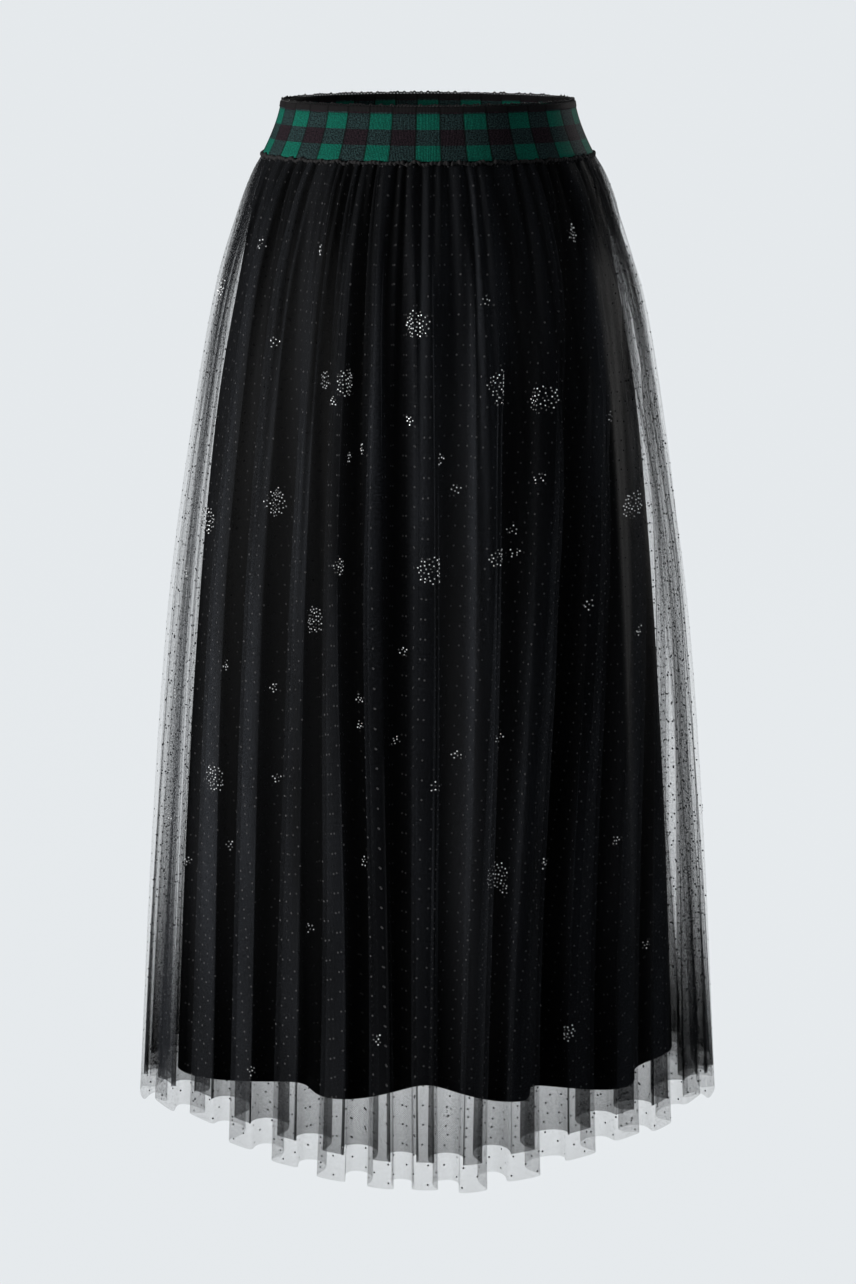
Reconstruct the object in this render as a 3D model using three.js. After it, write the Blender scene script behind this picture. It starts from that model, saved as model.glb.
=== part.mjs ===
// A pull-on tulle skirt, filled out as if worn and open at the waist and the hem.
// A checked elastic waistband carries two gathered layers of dotted tulle, the under one a
// little shorter, over a plain opaque lining. Each layer is a front and a back, sewn at the sides.
// Millimetres, +Z up, the front faces -Y, and the origin is the middle of the waistband.
import * as THREE from 'three';

const WALL = 1.0;
const SEAM_GAP = 0.3;
const SEAM_DRAW_BACK = 0.2;
const FULL_TURN = 360;

const BAND = {
  height: 44, thickness: 3.6, lipHeight: 6, lipStandsOut: 0.6, edgeRounding: 1.6,
  topHalfWidth: 125, topHalfDepth: 94, bottomHalfWidth: 141, bottomHalfDepth: 108,
  flarePower: 1.45, bendShare: 0.42, columns: 60,
};
const SEAM_Z = -BAND.height / 2 - SEAM_GAP;
const TULLE_HEM_Z = -868;
const UNDER_HEM_RISE = 22;
const LINING_HEM_Z = -820;

// The tulle's outline from the waist seam down. roundness is the power of the outline in plan:
// 2 is an ellipse, and less is flatter between the front, the sides and the back.
// foldDepth is half of a fold from ridge to valley, gatherDepth half of a small gather, meander
// how far a fold's walls lean over its valley as a share of its width, and underInset how far
// the under layer lies inside the outer one.
const TULLE_SECTIONS = [
  { z: SEAM_Z, halfWidth: 140.3, halfDepth: 107.3, roundness: 2.0,
    foldDepth: 0.0, gatherDepth: 0.5, meander: 0, underInset: 1.65 },
  { z: -38, halfWidth: 152, halfDepth: 118, roundness: 2.0,
    foldDepth: 1.0, gatherDepth: 1.7, meander: 0, underInset: 3.2 },
  { z: -70, halfWidth: 167.5, halfDepth: 132, roundness: 2.0,
    foldDepth: 2.6, gatherDepth: 2.0, meander: 0.02, underInset: 4.4 },
  { z: -130, halfWidth: 185.5, halfDepth: 149, roundness: 1.95,
    foldDepth: 4.8, gatherDepth: 1.2, meander: 0.05, underInset: 4.2 },
  { z: -240, halfWidth: 205, halfDepth: 169, roundness: 1.89,
    foldDepth: 7.0, gatherDepth: 0, meander: 0.06, underInset: 3.6 },
  { z: -420, halfWidth: 229, halfDepth: 195, roundness: 1.8,
    foldDepth: 9.6, gatherDepth: 0, meander: 0.08, underInset: 3.4 },
  { z: -640, halfWidth: 248, halfDepth: 219, roundness: 1.71,
    foldDepth: 12.5, gatherDepth: 0, meander: 0.11, underInset: 3.8 },
  { z: TULLE_HEM_Z, halfWidth: 262.5, halfDepth: 244, roundness: 1.62,
    foldDepth: 15, gatherDepth: 0, meander: 0.14, underInset: 4.2 },
];
// Folds at the two sides are shallower than those at the front and the back.
const SIDE_FOLD_SHARE = 0.6;
const UNDER_LEVELS = [SEAM_Z, -70, -240, -420, -640, TULLE_HEM_Z + UNDER_HEM_RISE];

// The folds' ridges. seamAngle and hemAngle are degrees round from the front, towards +X,
// at the waist seam and at the hem. reach is how far the ridge comes out to the outline, and
// hemLift raises the hem there. Small gathers fill the width of each fold at the seam.
const FRONT_FOLDS = [
  { seamAngle: -88, hemAngle: -88, reach: 0.95, hemLift: 0 },
  { seamAngle: -77, hemAngle: -72, reach: 0.8, hemLift: 13 },
  { seamAngle: -63, hemAngle: -56, reach: 1.0, hemLift: 22 },
  { seamAngle: -51, hemAngle: -44, reach: 1.05, hemLift: 11 },
  { seamAngle: -38, hemAngle: -32.5, reach: 0.85, hemLift: 5 },
  { seamAngle: -28, hemAngle: -20, reach: 1.05, hemLift: 2 },
  { seamAngle: -18.5, hemAngle: -9.5, reach: 0.9, hemLift: 0 },
  { seamAngle: -2, hemAngle: -0.5, reach: 0.7, hemLift: 0 },
  { seamAngle: 22, hemAngle: 9, reach: 1.1, hemLift: -2 },
  { seamAngle: 46, hemAngle: 20, reach: 1.1, hemLift: 3 },
  { seamAngle: 64, hemAngle: 35.5, reach: 0.8, hemLift: 9 },
  { seamAngle: 77, hemAngle: 48, reach: 1.1, hemLift: 16 },
  { seamAngle: 87, hemAngle: 60, reach: 0.8, hemLift: 9 },
  { seamAngle: 96, hemAngle: 72, reach: 1.0, hemLift: 20 },
];
const BACK_FOLDS = [
  { seamAngle: 104, hemAngle: 84, reach: 0.9, hemLift: 6 },
  { seamAngle: 113, hemAngle: 97, reach: 1.05, hemLift: 7 },
  { seamAngle: 123, hemAngle: 110, reach: 0.8, hemLift: 5 },
  { seamAngle: 133, hemAngle: 122, reach: 1.0, hemLift: 8 },
  { seamAngle: 144, hemAngle: 135, reach: 0.75, hemLift: 12 },
  { seamAngle: 155, hemAngle: 148, reach: 1.05, hemLift: 8 },
  { seamAngle: 166, hemAngle: 161, reach: 0.85, hemLift: 3 },
  { seamAngle: 178, hemAngle: 174, reach: 1.0, hemLift: 0 },
  { seamAngle: 190, hemAngle: 187, reach: 0.7, hemLift: 1 },
  { seamAngle: 201, hemAngle: 200, reach: 1.08, hemLift: 4 },
  { seamAngle: 213, hemAngle: 213, reach: 0.9, hemLift: 8 },
  { seamAngle: 225, hemAngle: 226, reach: 1.0, hemLift: 11 },
  { seamAngle: 237, hemAngle: 238, reach: 0.75, hemLift: 8 },
  { seamAngle: 248, hemAngle: 250, reach: 1.0, hemLift: 4 },
  { seamAngle: 259, hemAngle: 261, reach: 0.85, hemLift: 2 },
];
const POINTS_A_FOLD = 8;
const HEM_LIFT_POWER = 2;
// A ridge turns towards its place at the hem mostly in the upper half of the skirt.
const TURN_POWER = 1.6;

// The lining is narrower from front to back than the tulle, and hangs in a few broad waves.
const LINING_SECTIONS = [
  { z: SEAM_Z, halfWidth: 136.7, halfDepth: 103.7, roundness: 2, foldDepth: 0 },
  { z: -58, halfWidth: 149, halfDepth: 112, roundness: 2, foldDepth: 1 },
  { z: -120, halfWidth: 163, halfDepth: 121, roundness: 2, foldDepth: 3 },
  { z: -240, halfWidth: 186, halfDepth: 132, roundness: 2, foldDepth: 7 },
  { z: -420, halfWidth: 206, halfDepth: 139, roundness: 2, foldDepth: 11.5 },
  { z: -620, halfWidth: 221, halfDepth: 144, roundness: 2, foldDepth: 15 },
  { z: LINING_HEM_Z, halfWidth: 232, halfDepth: 148, roundness: 2, foldDepth: 18 },
];
const LINING_FRONT_WAVES = [
  { seamAngle: -80, hemAngle: -80, reach: 1.0, hemLift: -14 },
  { seamAngle: -31, hemAngle: -29, reach: 1.3, hemLift: -3 },
  { seamAngle: 30, hemAngle: 29, reach: 1.2, hemLift: -6 },
  { seamAngle: 62, hemAngle: 60, reach: 0.95, hemLift: -10 },
];
const LINING_BACK_WAVES = [
  { seamAngle: 99, hemAngle: 98, reach: 0.7, hemLift: -14 },
  { seamAngle: 133, hemAngle: 132, reach: 0.95, hemLift: 2 },
  { seamAngle: 164, hemAngle: 165, reach: 0.8, hemLift: 0 },
  { seamAngle: 196, hemAngle: 197, reach: 1.0, hemLift: 2 },
  { seamAngle: 226, hemAngle: 227, reach: 0.85, hemLift: 0 },
  { seamAngle: 254, hemAngle: 253, reach: 0.9, hemLift: -4 },
];
const POINTS_A_WAVE = 6;

const FINISHES = {
  check: { color: 0x1f5a45, roughness: 0.85, metalness: 0 },
  tulle: { color: 0x3a3d42, roughness: 0.7, metalness: 0 },
  underTulle: { color: 0x2c2e33, roughness: 0.7, metalness: 0 },
  lining: { color: 0x0b0b0d, roughness: 0.55, metalness: 0 },
};

const radians = THREE.MathUtils.degToRad;
const mix = THREE.MathUtils.lerp;

// The section at any height, in straight steps between the rows of a table.
function sectionAt(sections, z) {
  const below = Math.max(1, sections.findIndex((row) => row.z <= z));
  const [upper, lower] = [sections[below - 1], sections[below]];
  const share = (z - upper.z) / (lower.z - upper.z);
  const names = Object.keys(upper);
  return Object.fromEntries(names.map((name) => [name, mix(upper[name], lower[name], share)]));
}

// Distance from the middle to the outline: (sin / halfWidth)^power + (cos / halfDepth)^power = 1.
function outlineRadius({ halfWidth, halfDepth, roundness }, angle) {
  const sideways = Math.abs(Math.sin(angle) / halfWidth) ** roundness;
  const forwards = Math.abs(Math.cos(angle) / halfDepth) ** roundness;
  return (sideways + forwards) ** (-1 / roundness);
}

// One layer's fold from its ridge to the next: a wave in and out, whose walls lean over the
// valley by a wave of half its length along the outline.
function foldedPoint(cloth, section, column) {
  const rows = cloth.folds;
  const count = rows.length;
  const fold = Math.floor(column / cloth.pointsAFold);
  const share = column / cloth.pointsAFold - fold;
  const [here, next] = [rows[(fold + count) % count], rows[(fold + 1 + count) % count]];
  const turns = Math.floor((fold + 1) / count) - Math.floor(fold / count);
  const baseTurn = Math.floor(fold / count) * FULL_TURN;
  const depthShare = (section.z - SEAM_Z) / (cloth.hemZ - SEAM_Z);
  const turned = 1 - Math.max(0, 1 - depthShare) ** TURN_POWER;
  const ridge = mix(here.seamAngle, here.hemAngle, turned) + baseTurn;
  const nextRidge = mix(next.seamAngle, next.hemAngle, turned) + baseTurn + turns * FULL_TURN;
  const phase = radians(FULL_TURN * share);
  const lean = (section.meander ?? 0) * Math.sin(2 * phase);
  const angle = radians(ridge + (nextRidge - ridge) * (share + lean));
  const reach = mix(here.reach, next.reach, share);
  const gather = (section.gatherDepth ?? 0) * (column % 2 ? -1 : 1);
  const foldDepth = section.foldDepth * mix(1, cloth.sideFoldShare, Math.sin(angle) ** 4);
  const sunk = foldDepth * (1 - reach * Math.cos(phase));
  const radius = outlineRadius(section, angle) - sunk + gather;
  const lift = mix(here.hemLift, next.hemLift, share) * depthShare ** HEM_LIFT_POWER;
  return new THREE.Vector3(radius * Math.sin(angle), -radius * Math.cos(angle), section.z + lift);
}

// Points moved off a row in plan, so that each stretch between them keeps its distance.
function movedOut(row, before, after, distance) {
  const line = [before, ...row, after];
  const direction = (from, to) => to.clone().sub(from).setZ(0).normalize();
  return row.map((point, i) => {
    const [into, onward] = [direction(line[i], point), direction(point, line[i + 2])];
    const along = into.clone().add(onward).normalize();
    const reach = distance / along.dot(onward);
    return point.clone().add(new THREE.Vector3(along.y, -along.x, 0).multiplyScalar(reach));
  });
}

// A row of one panel's points between its side seams, with its end points drawn back.
function panelRow(cloth, level, first, last) {
  const section = sectionAt(cloth.sections, level);
  const inset = cloth.under ? section.underInset : 0;
  const at = (column) => foldedPoint(cloth, section, column);
  const row = Array.from({ length: last - first + 1 }, (_, i) => at(first + i));
  const [before, after] = [at(first - 1), at(last + 1)];
  const drawBack = (end, inside) => end.add(inside.clone().sub(end).setLength(SEAM_DRAW_BACK));
  const outer = movedOut(row, before, after, WALL / 2 - inset);
  const inner = movedOut(row, before, after, -WALL / 2 - inset);
  for (const side of [outer, inner]) {
    drawBack(side[0], side[1]);
    drawBack(side.at(-1), side.at(-2));
  }
  return { outer, inner };
}

// A closed wall from rows of outer and inner points, the rows going down and the points round.
function wallGeometry(rows) {
  const columns = rows[0].outer.length;
  const points = rows.flatMap((row) => [...row.outer, ...row.inner]);
  const out = (row, column) => row * 2 * columns + column;
  const inn = (row, column) => out(row, column) + columns;
  const faces = [];
  const quad = (a, b, c, d) => faces.push(a, b, c, a, c, d);
  const lastRow = rows.length - 1;
  const lastColumn = columns - 1;
  for (let row = 0; row < lastRow; row += 1) {
    for (let column = 0; column < lastColumn; column += 1) {
      quad(out(row, column), out(row + 1, column), out(row + 1, column + 1), out(row, column + 1));
      quad(inn(row, column), inn(row, column + 1), inn(row + 1, column + 1), inn(row + 1, column));
    }
    quad(out(row, 0), inn(row, 0), inn(row + 1, 0), out(row + 1, 0));
    quad(out(row, lastColumn), out(row + 1, lastColumn), inn(row + 1, lastColumn), inn(row, lastColumn));
  }
  for (let column = 0; column < lastColumn; column += 1) {
    quad(out(0, column), out(0, column + 1), inn(0, column + 1), inn(0, column));
    quad(out(lastRow, column), inn(lastRow, column), inn(lastRow, column + 1), out(lastRow, column + 1));
  }
  return indexed(points, faces);
}

function indexed(points, faces) {
  const geometry = new THREE.BufferGeometry().setFromPoints(points);
  geometry.setIndex(faces);
  geometry.computeVertexNormals();
  return geometry;
}

function named(name, geometry, finish) {
  const mesh = new THREE.Mesh(geometry, new THREE.MeshStandardMaterial(finish));
  mesh.name = name;
  return mesh;
}

// The elastic band: a closed section with a rounded lip at its top, carried round the waist.
// It flares from its top edge to its bottom edge, most of all where the gathers push it out.
function waistband() {
  const { height, thickness, lipHeight, lipStandsOut, edgeRounding, columns } = BAND;
  const [low, high] = [-height / 2, height / 2];
  const bend = low + height * BAND.bendShare;
  const section = [
    { out: 0, z: low },
    { out: 0, z: bend },
    { out: 0, z: high - lipHeight },
    { out: lipStandsOut, z: high - lipHeight + lipStandsOut },
    { out: lipStandsOut, z: high - edgeRounding },
    { out: lipStandsOut - edgeRounding, z: high },
    { out: edgeRounding - thickness, z: high },
    { out: -thickness, z: high - edgeRounding },
    { out: -thickness, z: bend },
    { out: -thickness, z: low },
  ];
  const points = [];
  const faces = [];
  for (let column = 0; column < columns; column += 1) {
    const angle = radians((FULL_TURN * column) / columns);
    for (const { out, z } of section) {
      const flare = ((high - z) / height) ** BAND.flarePower;
      const across = mix(BAND.topHalfWidth, BAND.bottomHalfWidth, flare) + out;
      const deep = mix(BAND.topHalfDepth, BAND.bottomHalfDepth, flare) + out;
      points.push(new THREE.Vector3(across * Math.sin(angle), -deep * Math.cos(angle), z));
    }
    const [here, next] = [column, (column + 1) % columns].map((i) => i * section.length);
    section.forEach((_, i) => {
      const above = (i + 1) % section.length;
      faces.push(here + i, next + i, next + above, here + i, next + above, here + above);
    });
  }
  return named('waistband', indexed(points, faces), FINISHES.check);
}

// The front and the back of one layer of cloth, parted in the valleys at its two sides.
function layer(name, cloth, finish) {
  const half = cloth.pointsAFold / 2;
  const frontEnd = cloth.frontCount * cloth.pointsAFold - half;
  const backEnd = cloth.folds.length * cloth.pointsAFold - half;
  const panel = (first, last) =>
    wallGeometry(cloth.levels.map((level) => panelRow(cloth, level, first, last)));
  return [
    named(`${name}_front`, panel(-half, frontEnd), finish),
    named(`${name}_back`, panel(frontEnd, backEnd), finish),
  ];
}

const tulle = {
  sections: TULLE_SECTIONS, folds: [...FRONT_FOLDS, ...BACK_FOLDS], frontCount: FRONT_FOLDS.length,
  pointsAFold: POINTS_A_FOLD, hemZ: TULLE_HEM_Z, sideFoldShare: SIDE_FOLD_SHARE,
};
const outerTulle = { ...tulle, levels: TULLE_SECTIONS.map((row) => row.z) };
const underTulle = { ...tulle, levels: UNDER_LEVELS, under: true };
const lining = {
  sections: LINING_SECTIONS, folds: [...LINING_FRONT_WAVES, ...LINING_BACK_WAVES],
  frontCount: LINING_FRONT_WAVES.length, pointsAFold: POINTS_A_WAVE, hemZ: LINING_HEM_Z,
  levels: LINING_SECTIONS.map((row) => row.z), sideFoldShare: 1,
};

const skirt = new THREE.Group();
skirt.add(
  waistband(),
  ...layer('tulle', outerTulle, FINISHES.tulle),
  ...layer('tulle_under', underTulle, FINISHES.underTulle),
  ...layer('lining', lining, FINISHES.lining),
);

export default skirt;
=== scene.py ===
# %% [markdown]
# # A tulle skirt on a checked elastic waistband
#
# This lesson dresses the skirt's plain solids. The real skirt has a wide woven elastic at the
# waist, two gathered layers of sheer black net with small flocked dots, the outer one set
# with clusters of clear stones, and an opaque black lining. Sizes below are in millimetres
# and are turned to metres where a mesh is made. The skirt hangs as it is worn, with its front
# towards -Y, and the origin is the middle of the waistband.

# %% The frame and the libraries
import math

import bpy
import numpy as np
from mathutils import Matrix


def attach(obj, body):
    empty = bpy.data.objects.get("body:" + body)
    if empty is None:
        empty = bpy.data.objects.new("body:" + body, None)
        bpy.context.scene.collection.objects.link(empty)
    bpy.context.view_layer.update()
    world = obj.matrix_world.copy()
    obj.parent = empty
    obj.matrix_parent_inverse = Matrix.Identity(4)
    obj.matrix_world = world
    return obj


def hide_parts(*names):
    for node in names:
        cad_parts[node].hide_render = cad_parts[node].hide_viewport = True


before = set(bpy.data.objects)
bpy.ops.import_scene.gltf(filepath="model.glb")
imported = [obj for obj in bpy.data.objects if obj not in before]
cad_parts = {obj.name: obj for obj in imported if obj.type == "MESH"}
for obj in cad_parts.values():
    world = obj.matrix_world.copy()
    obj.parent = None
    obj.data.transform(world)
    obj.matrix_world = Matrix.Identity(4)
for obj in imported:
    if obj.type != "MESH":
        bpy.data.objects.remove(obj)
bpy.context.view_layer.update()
MM = 0.001

# %% [markdown]
# ## Camera, light and backdrop
#
# The photograph looks down on the skirt by about 13 degrees from nearly three metres away.
# A big soft light stands to the left, so the left folds are grey and the right ones sink into
# black. A weak one fills the right side, and one behind shows the back's folds. The backdrop is
# a round floor that curves up into a wall. It could be lit alone, but a pale glow of its own
# keeps it even, as a studio sweep is.

# %% The camera
CAMERA_PLACE = (0.0, -2.8, 0.1905)
CAMERA_DOWN = 12.9
CAMERA_LENS = 91.3


def make_camera():
    data = bpy.data.cameras.new("camera")
    data.lens = CAMERA_LENS
    data.sensor_width = 36
    camera = bpy.data.objects.new("camera", data)
    camera.location = CAMERA_PLACE
    camera.rotation_euler = (math.radians(90 - CAMERA_DOWN), 0, 0)
    bpy.context.collection.objects.link(camera)
    bpy.context.scene.camera = camera
    return camera


print("camera", make_camera().name)

# %% Nodes by name, so that every material reads as a list of steps


def new_material(name):
    """A material with one Principled shader, given back with its node tree and shader."""
    material = bpy.data.materials.new(name)
    material.use_nodes = True
    return material, material.node_tree, material.node_tree.nodes["Principled BSDF"]


def math_node(tree, operation, *inputs, clamp=False):
    """One Math node; numbers go on its sockets and sockets are linked."""
    node = tree.nodes.new("ShaderNodeMath")
    node.operation = operation
    node.use_clamp = clamp
    for socket, value in zip(node.inputs, inputs):
        if isinstance(value, (int, float)):
            socket.default_value = value
        else:
            tree.links.new(value, socket)
    return node.outputs[0]


def mix_colours(tree, share, first, second):
    """A colour between two, each a tuple or a socket."""
    node = tree.nodes.new("ShaderNodeMix")
    node.data_type = "RGBA"
    for socket, value in zip((node.inputs[0], node.inputs[6], node.inputs[7]), (share, first, second)):
        if isinstance(value, (tuple, int, float)):
            socket.default_value = (*value, 1) if isinstance(value, tuple) else value
        else:
            tree.links.new(value, socket)
    return node.outputs[2]


def cloth_coordinates(tree):
    """Across and down the cloth in metres, from the piece's own map."""
    place = tree.nodes.new("ShaderNodeUVMap")
    place.uv_map = "cloth"
    split = tree.nodes.new("ShaderNodeSeparateXYZ")
    tree.links.new(place.outputs[0], split.inputs[0])
    return place.outputs[0], split.outputs[0], split.outputs[1]


def noise(tree, vector, scale, detail=2.0):
    """Noise from 0 to 1 at so many lumps a metre."""
    node = tree.nodes.new("ShaderNodeTexNoise")
    node.inputs["Scale"].default_value = scale
    node.inputs["Detail"].default_value = detail
    tree.links.new(vector, node.inputs["Vector"])
    return node.outputs[0]


def band_of(tree, value, low, high):
    """Value stretched so that low gives 0 and high gives 1, held between them."""
    node = tree.nodes.new("ShaderNodeMapRange")
    node.inputs[1].default_value, node.inputs[2].default_value = low, high
    tree.links.new(value, node.inputs[0])
    return node.outputs[0]


def bump(tree, shader, height, distance, strength=1.0):
    """Tilt the shader's normal as if the surface rose by height times so many metres."""
    node = tree.nodes.new("ShaderNodeBump")
    node.inputs["Distance"].default_value = distance
    node.inputs["Strength"].default_value = strength
    tree.links.new(height, node.inputs["Height"])
    tree.links.new(node.outputs[0], shader.inputs["Normal"])


# %% The lights and the sweep
FLOOR_DEPTH = -1.03
SWEEP_RADIUS, SWEEP_BEND, SWEEP_HEIGHT = 7.0, 1.6, 5.5
SWEEP_SIDES, SWEEP_MIDDLE = 96, 0.5
BACKDROP = (0.783, 0.814, 0.838)
WORLD_COLOUR, WORLD_STRENGTH = (0.86, 0.89, 0.92), 0.09
KEY = dict(place=(-2.75, -1.1, 0.0), size=(0.7, 1.6), power=112, colour=(1.0, 0.99, 0.97))
FILL = dict(place=(2.5, -1.0, 0.3), size=(0.8, 1.8), power=13, colour=(0.93, 0.97, 1.0))
BEHIND = dict(place=(1.9, 2.4, 0.25), size=(0.8, 1.8), power=34, colour=(1.0, 0.99, 0.97))
LIT_POINT = (0.0, 0.0, -0.38)


def area_light(name, place, size, power, colour):
    """A soft box aimed at the middle of the skirt."""
    data = bpy.data.lights.new(name, "AREA")
    data.shape = "RECTANGLE"
    data.size, data.size_y = size
    data.energy = power
    data.color = colour
    light = bpy.data.objects.new(name, data)
    light.location = place
    aim = np.subtract(LIT_POINT, place)
    from_top = math.pi / 2 + math.atan2(aim[2], math.hypot(aim[0], aim[1]))
    light.rotation_euler = (from_top, 0, math.atan2(aim[1], aim[0]) - math.pi / 2)
    bpy.context.collection.objects.link(light)


def sweep_profile():
    """Floor, quarter circle and wall, as (radius, z) points in metres from the middle out."""
    turn = np.linspace(0, math.pi / 2, 17)
    bend = np.stack([SWEEP_RADIUS - SWEEP_BEND + SWEEP_BEND * np.sin(turn),
                     FLOOR_DEPTH + SWEEP_BEND * (1 - np.cos(turn))], axis=1)
    return np.vstack([[SWEEP_MIDDLE, FLOOR_DEPTH], bend, [SWEEP_RADIUS, SWEEP_HEIGHT]])


def make_sweep():
    """A round studio, so that the skirt has the same backdrop from every side. It glows for the
    camera alone, and lights nothing."""
    profile = sweep_profile()
    turn = 2 * math.pi * np.arange(SWEEP_SIDES) / SWEEP_SIDES
    points = [(r * math.cos(t), r * math.sin(t), z) for r, z in profile for t in turn]
    rings = [[i * SWEEP_SIDES + j for j in (*range(SWEEP_SIDES), 0)] for i in range(len(profile))]
    quads = [(low[j], low[j + 1], high[j + 1], high[j])
             for high, low in zip(rings, rings[1:]) for j in range(SWEEP_SIDES)]
    mesh = bpy.data.meshes.new("backdrop")
    mesh.from_pydata(points, [], [tuple(range(SWEEP_SIDES)), *quads])
    mesh.shade_smooth()
    sweep = bpy.data.objects.new("backdrop", mesh)
    bpy.context.collection.objects.link(sweep)
    material, tree, shader = new_material("pale_backdrop")
    shader.inputs["Base Color"].default_value = (0.004, 0.004, 0.004, 1)
    shader.inputs["Roughness"].default_value = 0.95
    shader.inputs["Specular IOR Level"].default_value = 0.1
    shader.inputs["Emission Color"].default_value = (*BACKDROP, 1)
    shader.inputs["Emission Strength"].default_value = 1.0
    mesh.materials.append(material)
    sweep.visible_diffuse = False
    sweep.visible_glossy = False


def light_the_world():
    world = bpy.data.worlds.new("studio")
    world.use_nodes = True
    background = world.node_tree.nodes["Background"]
    background.inputs["Color"].default_value = (*WORLD_COLOUR, 1)
    background.inputs["Strength"].default_value = WORLD_STRENGTH
    bpy.context.scene.world = world


make_sweep()
light_the_world()
area_light("key", **KEY)
area_light("fill", **FILL)
area_light("behind", **BEHIND)
scene = bpy.context.scene
scene.view_settings.view_transform = "Standard"
scene.view_settings.look = "None"
scene.cycles.transparent_max_bounces = 48
scene.cycles.max_bounces = 6

# %% [markdown]
# ## Helpers for sheets of cloth
#
# Every cloth here is a function of two parameters: how far round the skirt, and how far down.
# A table of a few sections gives the outline at some depths, and a cubic that never swings
# past its points joins them. The mesh keeps a map of the cloth in metres, so that
# weave, check and net follow the cloth and gather with it.

# %% Grid to mesh, and curves through tables


def grid_quads(index):
    """Quads between neighbours in a grid of numbers, in the order that faces outwards."""
    quads = np.stack([index[:-1, :-1], index[1:, :-1], index[1:, 1:], index[:-1, 1:]], axis=-1)
    return quads.reshape(-1, 4)


def sheet_mesh(name, points, across, down, joined=(False, False)):
    """A mesh of quads from rows of points that go down and columns that go round with the
    front towards -Y first, so that its faces look outwards. across and down are metres of cloth.
    joined says whether the last row, and the last column, is the first one again."""
    rows, columns = points.shape[:2]
    kept_rows, kept_columns = rows - joined[0], columns - joined[1]
    places = points[:kept_rows, :kept_columns].reshape(-1, 3) * MM
    row, column = np.arange(rows)[:, None] % kept_rows, np.arange(columns)[None, :] % kept_columns
    mesh = bpy.data.meshes.new(name)
    mesh.from_pydata(places.tolist(), [], grid_quads(row * kept_columns + column).tolist())
    cloth = np.stack(np.broadcast_arrays(across, down), axis=-1).reshape(-1, 2)
    corners = grid_quads(np.arange(rows * columns).reshape(rows, columns)).ravel()
    mesh.uv_layers.new(name="cloth").data.foreach_set("uv", cloth[corners].ravel())
    mesh.shade_smooth()
    piece = bpy.data.objects.new(name, mesh)
    bpy.context.collection.objects.link(piece)
    return piece


def smooth_through(x, xs, ys):
    """Cubic pieces through the points (xs, ys). Each slope is the harmonic mean of the straight
    steps beside it, or level where they turn back, so the curve never swings past a point."""
    xs, ys = np.asarray(xs, float), np.asarray(ys, float)
    step = np.diff(xs)
    rise = np.diff(ys) / step
    slope = np.zeros(len(xs))
    slope[0], slope[-1] = rise[0], rise[-1]
    both = rise[1:] * rise[:-1]
    total = np.where(both > 0, rise[1:] + rise[:-1], 1.0)
    slope[1:-1] = np.where(both > 0, 2 * both / total, 0.0)
    i = np.clip(np.searchsorted(xs, x) - 1, 0, len(xs) - 2)
    t = (x - xs[i]) / step[i]
    start = (1 + 2 * t) * (1 - t) ** 2 * ys[i] + t * (1 - t) ** 2 * step[i] * slope[i]
    end = t * t * (3 - 2 * t) * ys[i + 1] + t * t * (t - 1) * step[i] * slope[i + 1]
    return start + end


def outline_radius(half_width, half_depth, roundness, angle):
    """Distance to the outline |sin / half_width|^n + |cos / half_depth|^n = 1, n = roundness."""
    sideways = np.abs(np.sin(angle) / half_width) ** roundness
    forwards = np.abs(np.cos(angle) / half_depth) ** roundness
    return (sideways + forwards) ** (-1 / roundness)


def wander(turn, count, seed, waves, strength):
    """A smooth wandering line that closes after count turns: sines of whole numbers of waves
    between waves[0] and waves[1], with seeded phases and heights."""
    rng = np.random.default_rng(seed)
    numbers = rng.integers(waves[0], waves[1], 6)
    phases = rng.uniform(0, 2 * np.pi, 6)
    heights = rng.uniform(0.4, 1.0, 6)
    total = sum(h * np.sin(2 * np.pi * n * turn / count + p)
                for n, p, h in zip(numbers, phases, heights))
    return strength * total / heights.sum() * 2


# %% [markdown]
# ## The fall of the tulle
#
# Gathered net stands out from the band in small pleats that run together into broad folds.
# Cloth simulation could drop a flat panel into such folds, but they would land anywhere. Here
# the folds are listed one by one, a row of a table each, where the photograph has them. A fold
# is a wave in and out. A second wave along the outline makes its walls lean over the valley,
# which gives the crisp overlaps at the hem. Each fold also leans to one side by its own share.

# %% The tulle's tables
SEAM_DEPTH = 22.3
HEM_DEPTH = 868.0
UNDER_HEM_RISE = 22.0
TULLE = {
    "depth": (SEAM_DEPTH, 38, 70, 130, 240, 420, 640, HEM_DEPTH),
    "half_width": (140.3, 148.5, 161, 180.5, 202.5, 229, 248, 262.5),
    "half_depth": (107.3, 116, 128, 146, 168, 195, 219, 244),
    "roundness": (2.0, 2.0, 2.0, 1.95, 1.89, 1.8, 1.71, 1.62),
    "fold_depth": (0.0, 1.0, 2.6, 4.8, 7.0, 9.6, 12.5, 15),
    "meander": (0.0, 0.0, 0.02, 0.05, 0.06, 0.08, 0.11, 0.14),
    "gather": (0.9, 2.8, 4.4, 5.2, 5.0, 3.0, 0.0, 0.0),
    "crease": (0.0, 0.4, 0.9, 0.9, 0.7, 0.3, 0.1, 0.0),
    "sharp": (2.0, 2.0, 2.1, 2.3, 2.5, 2.6, 2.8, 3.0),
    "under_inset": (1.65, 3.2, 4.4, 4.2, 3.6, 3.4, 3.8, 4.2),
}
FOLD_COLUMNS = [(name, float) for name in ("seam", "hem", "reach", "lift", "lean", "flat")]
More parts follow.
